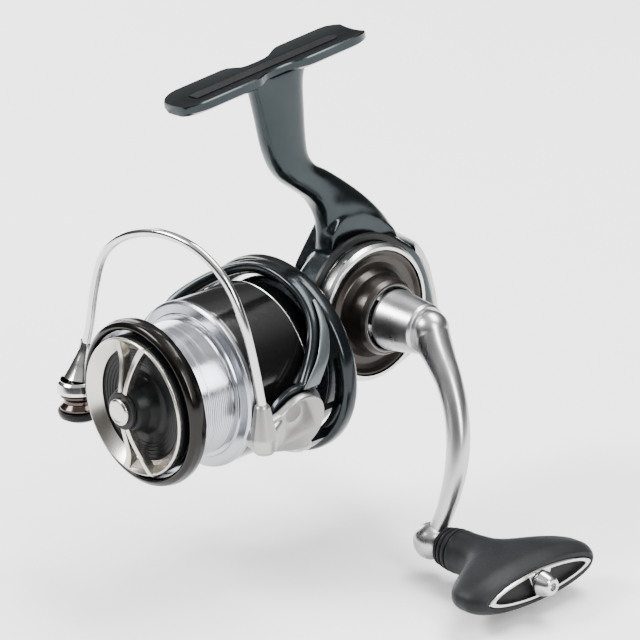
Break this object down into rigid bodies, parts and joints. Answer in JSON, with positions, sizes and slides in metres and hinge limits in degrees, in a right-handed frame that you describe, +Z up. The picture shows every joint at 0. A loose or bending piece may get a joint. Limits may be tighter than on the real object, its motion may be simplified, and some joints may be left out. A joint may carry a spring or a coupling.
{
  "type": "spinning fishing reel",
  "caption": "Spinning reel with a waisted foot on a swept stem, an open-arm rotor with wire bail, a skirted spool, a front drag knob and a curved crank with a T-shaped grip.",
  "frame": {"origin": "middle of the foot's hollow top, on its lowest line, where the reel seats against the rod", "axes": "+Z up through the foot towards the rod, -Y forward along the main shaft to the spool and drag knob, +X to the side the handle is on"},
  "size_m": [0.13, 0.112, 0.1346],
  "materials": {
    "gunmetal_casting": "gloss metallic gunmetal paint",
    "bronze_black": "satin dark bronze",
    "polished_ring": "polished",
    "silver_paint": "satin silver paint",
    "black_screw": "black oxide",
    "bearing_steel": "ground",
    "bronze_bush": "sintered",
    "clutch_steel": "ground",
    "seal_rubber": "matt",
    "shaft_steel": "ground stainless",
    "gear_alloy": "machined",
    "gear_resin": "moulded",
    "slider_alloy": "die cast",
    "satin_aluminium": "satin polished",
    "grip_rubber": "matt foam rubber",
    "black_plastic": "matt black",
    "bright_frame": "satin chrome",
    "rotor_paint": "gloss dark metallic",
    "spring_steel": "drawn",
    "wire_steel": "mirror polished",
    "pearl_silver": "pearl silver paint",
    "roller_coat": "dark hard coat",
    "spool_aluminium": "turned and polished",
    "skirt_black": "gloss black",
    "drag_fibre": "greased fibre",
    "drag_steel": "ground",
    "knob_black": "satin black",
    "champagne_metal": "champagne anodised"
  },
  "bodies": {
    "frame": {"main_body": "gunmetal_casting", "side_plate": "bronze_black", "plate_ring": "polished_ring", "port_cap": "silver_paint", "rear_guard": "silver_paint", "rear_guard_screws": "black_screw", "gear_bearing_right": "bearing_steel", "gear_bearing_left": "bearing_steel", "front_bearing": "bearing_steel", "rear_bushing": "bronze_bush", "one_way_clutch": "clutch_steel", "clutch_seal": "seal_rubber", "clutch_retainer": "clutch_steel", "guide_rod": "shaft_steel", "crank_wheel_post": "shaft_steel"},
    "crank": {"drive_gear": "gear_alloy", "gear_shaft": "gear_alloy", "crank_pinion": "gear_resin", "handle_collar": "satin_aluminium", "handle_shaft": "shaft_steel", "handle_arm": "satin_aluminium", "knob_shaft": "shaft_steel"},
    "knob": {"knob_grip": "grip_rubber", "knob_frame": "bright_frame", "knob_screw": "bright_frame", "knob_bearings": "bearing_steel", "knob_washer": "black_plastic"},
    "crank_wheel_body": {"crank_wheel": "gear_resin"},
    "rotor_body": {"rotor": "rotor_paint", "rotor_nut": "clutch_steel", "clutch_sleeve": "clutch_steel", "pinion_gear": "bronze_bush", "bail_spring": "spring_steel", "holder_screw": "shaft_steel", "lever_screw": "black_screw"},
    "bail": {"bail_wire": "wire_steel", "bail_holder": "pearl_silver", "arm_lever": "knob_black", "bail_end": "wire_steel", "roller_screw": "black_screw"},
    "roller": {"line_roller": "roller_coat", "roller_bearing": "bearing_steel"},
    "shaft": {"main_shaft": "shaft_steel", "slider_block": "slider_alloy", "slider_screw": "shaft_steel", "spool_collar": "slider_alloy"},
    "spool": {"spool_drum": "spool_aluminium", "spool_lip": "bronze_black", "spool_skirt": "skirt_black", "spool_bearings": "bearing_steel", "click_ring": "black_plastic", "drag_washers": "drag_fibre", "drag_plates": "drag_steel", "drag_clip": "spring_steel"},
    "drag_knob": {"drag_knob_body": "knob_black", "drag_bezel": "champagne_metal", "drag_cap": "champagne_metal", "drag_spring": "spring_steel"}
  },
  "joints": [
    {"name": "handle_turn", "type": "hinge", "parent": "frame", "child": "crank", "pos_m": [0, 0.0238, -0.0719], "axis": [1, 0, 0], "continuous": true},
    {"name": "rotor_spin", "type": "hinge", "parent": "frame", "child": "rotor_body", "pos_m": [0, 0, -0.0794], "axis": [0, 1, 0], "continuous": true},
    {"name": "crank_wheel_turn", "type": "hinge", "parent": "frame", "child": "crank_wheel_body", "pos_m": [0, 0.0372, -0.0758], "axis": [1, 0, 0], "continuous": true},
    {"name": "knob_spin", "type": "hinge", "parent": "crank", "child": "knob", "pos_m": [0.06, 0.01066, -0.12459], "axis": [1, 0, 0], "continuous": true},
    {"name": "spool_stroke", "type": "slide", "parent": "frame", "child": "shaft", "axis": [0, -1, 0], "range_m": [0, 0.0135]},
    {"name": "spool_drag", "type": "hinge", "parent": "shaft", "child": "spool", "pos_m": [0, -0.037, -0.0794], "axis": [0, 1, 0], "continuous": true},
    {"name": "drag_knob_turn", "type": "hinge", "parent": "shaft", "child": "drag_knob", "pos_m": [0, -0.05, -0.0794], "axis": [0, 1, 0], "range_deg": [-360, 180]},
    {"name": "bail_hinge", "type": "hinge", "parent": "rotor_body", "child": "bail", "pos_m": [0, -0.0183, -0.0794], "axis": [-0.9703, 0, 0.2419], "range_deg": [0, 45]},
    {"name": "roller_spin", "type": "hinge", "parent": "bail", "child": "roller", "pos_m": [-0.034, -0.0415, -0.0888], "axis": [0, 0, 1], "continuous": true}
  ],
  "couplings": [
    {"joint": "rotor_spin", "follows": "handle_turn", "ratio": 5.2222},
    {"joint": "crank_wheel_turn", "follows": "handle_turn", "ratio": -0.54546}
  ]
}
